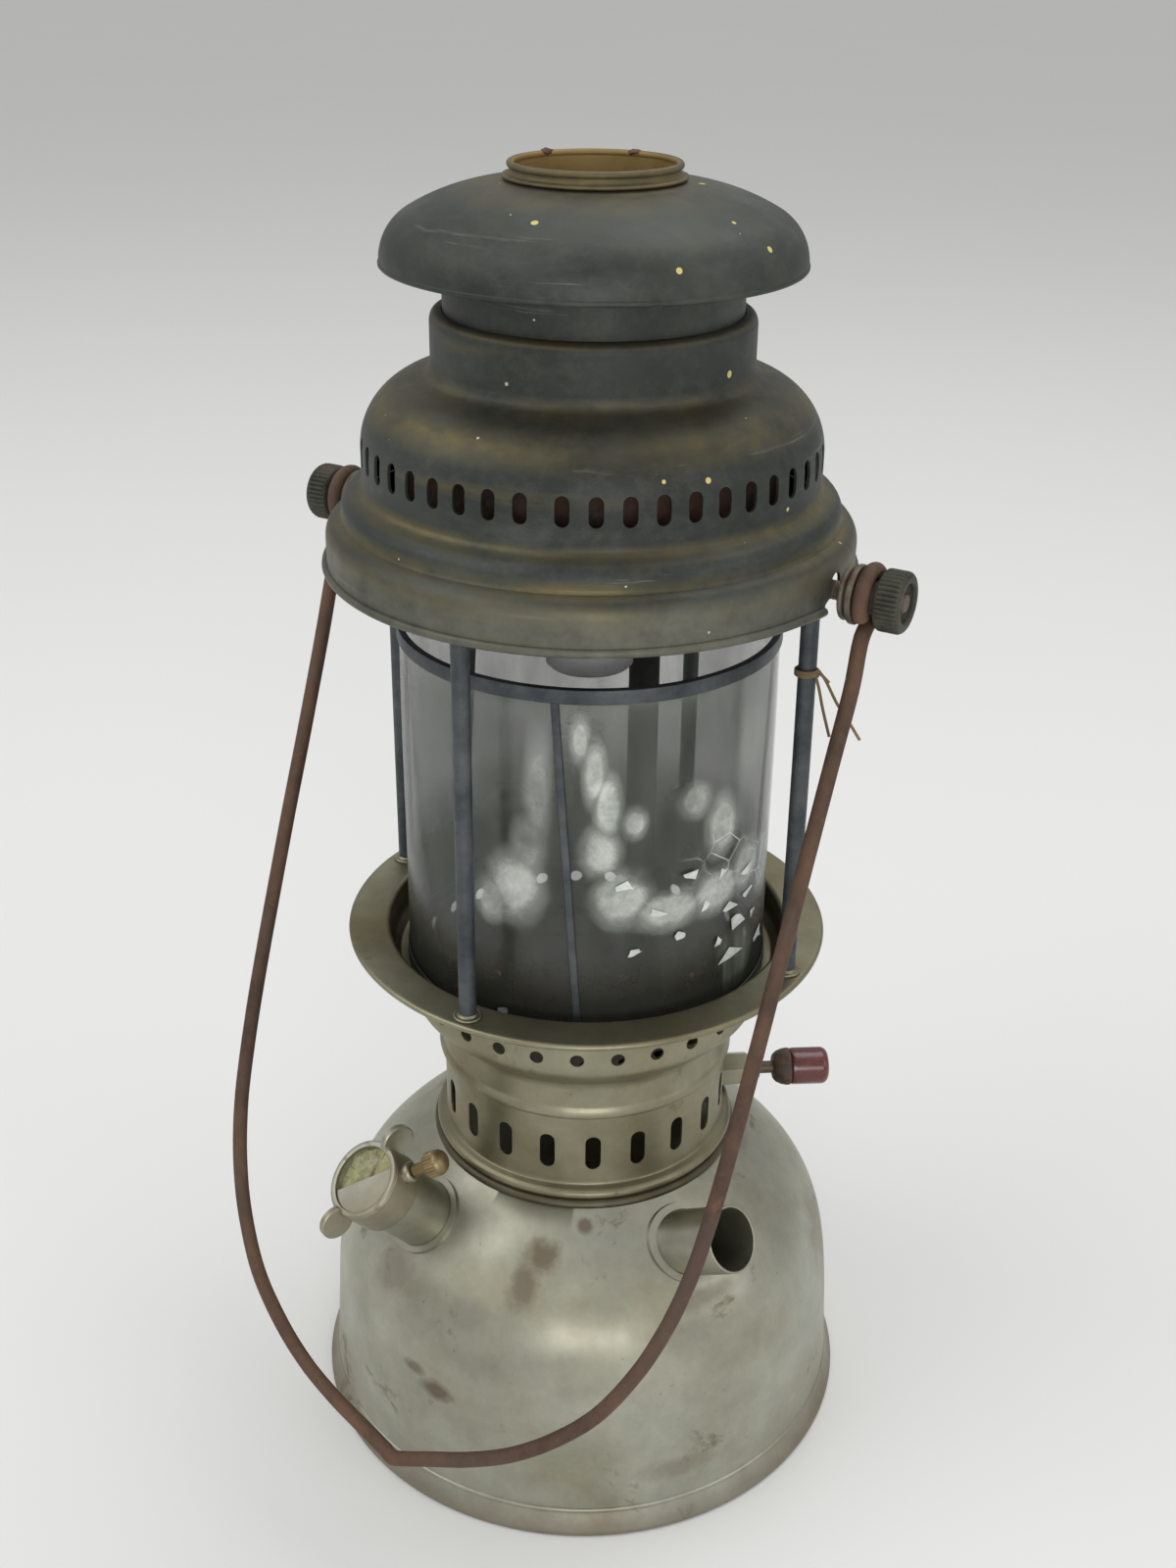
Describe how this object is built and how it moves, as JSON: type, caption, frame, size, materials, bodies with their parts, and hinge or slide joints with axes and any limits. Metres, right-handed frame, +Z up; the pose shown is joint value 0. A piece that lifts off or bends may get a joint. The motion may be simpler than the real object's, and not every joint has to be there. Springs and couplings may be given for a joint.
{
  "type": "kerosene pressure lantern",
  "caption": "Kerosene pressure lantern: domed tank on a round foot, slotted drum, rolled collar, clear globe in a post frame, stepped vented hood with cap and a long wire bail.",
  "frame": {"origin": "centre of the round foot on the surface the lantern stands on, under the lantern's axis", "axes": "+Z up along the lantern's axis; X runs through the two bail pivots; the bail hangs forward, towards -Y, and the filler cap is on that side"},
  "size_m": [0.1876, 0.2012, 0.3946],
  "materials": {
    "plated_brass": "worn nickel plating on brass sheet, stained and dented",
    "drum_brass": "tarnished nickel on brass",
    "seam_dark": "dark tarnished bead",
    "hood_metal": "dark grey-green weathered coating with brassy rubbed edges",
    "chimney_metal": "heat-stained, dull ochre",
    "frame_steel": "dark blue-grey, dull",
    "mica": "clear mica sheet with milky flakes and cracks",
    "rust_steel": "rust-brown steel",
    "stud_steel": "dull steel, worn",
    "hot_steel": "heat-scaled, rust-brown",
    "clay": "unglazed clay, blue-grey with brown edge",
    "brass_fitting": "dull brass",
    "bakelite": "dark red moulded plastic, worn gloss",
    "seal": "aged rubber",
    "gauge_glass": "small flat glass",
    "dial_face": "yellow-green printed plate",
    "pointer_red": "thin red-brown pointer"
  },
  "bodies": {
    "lantern": {"tank_shell": "plated_brass", "tank_base": "plated_brass", "tank_collar": "seam_dark", "tank_socket": "brass_fitting", "pickup_tube": "brass_fitting", "pump_tube": "plated_brass", "pump_flange": "plated_brass", "check_valve": "brass_fitting", "filler_neck": "plated_brass", "filler_flange": "plated_brass", "vent_drum": "drum_brass", "gallery": "drum_brass", "air_plate": "drum_brass", "frame_posts": "frame_steel", "frame_ring": "frame_steel", "inner_casing": "hot_steel", "burner_plate": "hot_steel", "mixing_chamber": "hot_steel", "mixing_tube": "hot_steel", "burner_nozzle": "clay", "vaporizer_tube": "hot_steel", "vaporizer_body": "brass_fitting", "vaporizer_nut": "brass_fitting", "union_nut": "brass_fitting", "jet": "brass_fitting", "spirit_cup": "brass_fitting", "gland_nut": "drum_brass", "bail_studs": "stud_steel", "bail_bushings": "stud_steel", "tie_wire": "rust_steel"},
    "hood": {"hood_shell": "hood_metal", "hood_neck": "hood_metal", "hood_cap": "hood_metal", "chimney_ring": "chimney_metal", "cap_brackets": "hot_steel", "inner_chimney": "chimney_metal"},
    "globe": {"globe_sheet": "mica", "globe_top_ring": "frame_steel", "globe_bottom_ring": "frame_steel", "globe_strips": "frame_steel"},
    "handle": {"bail": "rust_steel"},
    "nut_right": {"bail_nut_right": "hood_metal"},
    "nut_left": {"bail_nut_left": "hood_metal"},
    "control": {"spindle": "brass_fitting", "control_knob": "bakelite"},
    "needle": {"needle_rod": "brass_fitting"},
    "seal": {"cap_gasket": "seal"},
    "cap": {"filler_cap": "plated_brass", "gauge_dial": "dial_face", "gauge_glass": "gauge_glass", "gauge_cover": "plated_brass", "gauge_bezel": "plated_brass"},
    "pointer": {"gauge_pointer": "pointer_red"},
    "vent": {"vent_screw": "brass_fitting"}
  },
  "joints": [
    {"name": "bail_swing", "type": "hinge", "parent": "lantern", "child": "handle", "pos_m": [0, 0, 0.2917], "axis": [1, 0, 0], "range_deg": [-305, 5]},
    {"name": "nut_right_turn", "type": "hinge", "parent": "lantern", "child": "nut_right", "pos_m": [0.09, 0, 0.2917], "axis": [1, 0, 0], "continuous": true},
    {"name": "nut_left_turn", "type": "hinge", "parent": "lantern", "child": "nut_left", "pos_m": [-0.09, 0, 0.2917], "axis": [-1, 0, 0], "continuous": true},
    {"name": "hood_lift", "type": "slide", "parent": "lantern", "child": "hood", "axis": [0, 0, 1], "range_m": [0, 0.12]},
    {"name": "globe_lift", "type": "slide", "parent": "lantern", "child": "globe", "axis": [0, 0, 1], "range_m": [0, 0.022]},
    {"name": "knob_turn", "type": "hinge", "parent": "lantern", "child": "control", "pos_m": [0.0102, 0.01489, 0.1066], "axis": [0.8261, 0.5635, 0], "range_deg": [-60, 60]},
    {"name": "needle_move", "type": "slide", "parent": "lantern", "child": "needle", "axis": [0, 0, 1], "range_m": [-0.0019, 0.0019]},
    {"name": "cap_turn", "type": "hinge", "parent": "seal", "child": "cap", "pos_m": [-0.03273, -0.07599, 0.1077], "axis": [-0.2647, -0.6146, 0.7431], "range_deg": [0, 1080]},
    {"name": "cap_lift", "type": "slide", "parent": "lantern", "child": "seal", "axis": [-0.2647, -0.6146, 0.7431], "range_m": [0, 0.0046]},
    {"name": "pointer_turn", "type": "hinge", "parent": "cap", "child": "pointer", "pos_m": [-0.03209, -0.07452, 0.10591], "axis": [-0.2647, -0.6146, 0.7431], "range_deg": [-60, 60]},
    {"name": "vent_turn", "type": "hinge", "parent": "cap", "child": "vent", "pos_m": [-0.03141, -0.07292, 0.10398], "axis": [0.8155, 0.2686, 0.5126], "range_deg": [0, 360]}
  ],
  "couplings": [
    {"joint": "needle_move", "follows": "knob_turn", "m_per_rad": 0.0018},
    {"joint": "cap_lift", "follows": "cap_turn", "m_per_rad": 0.00023873}
  ]
}
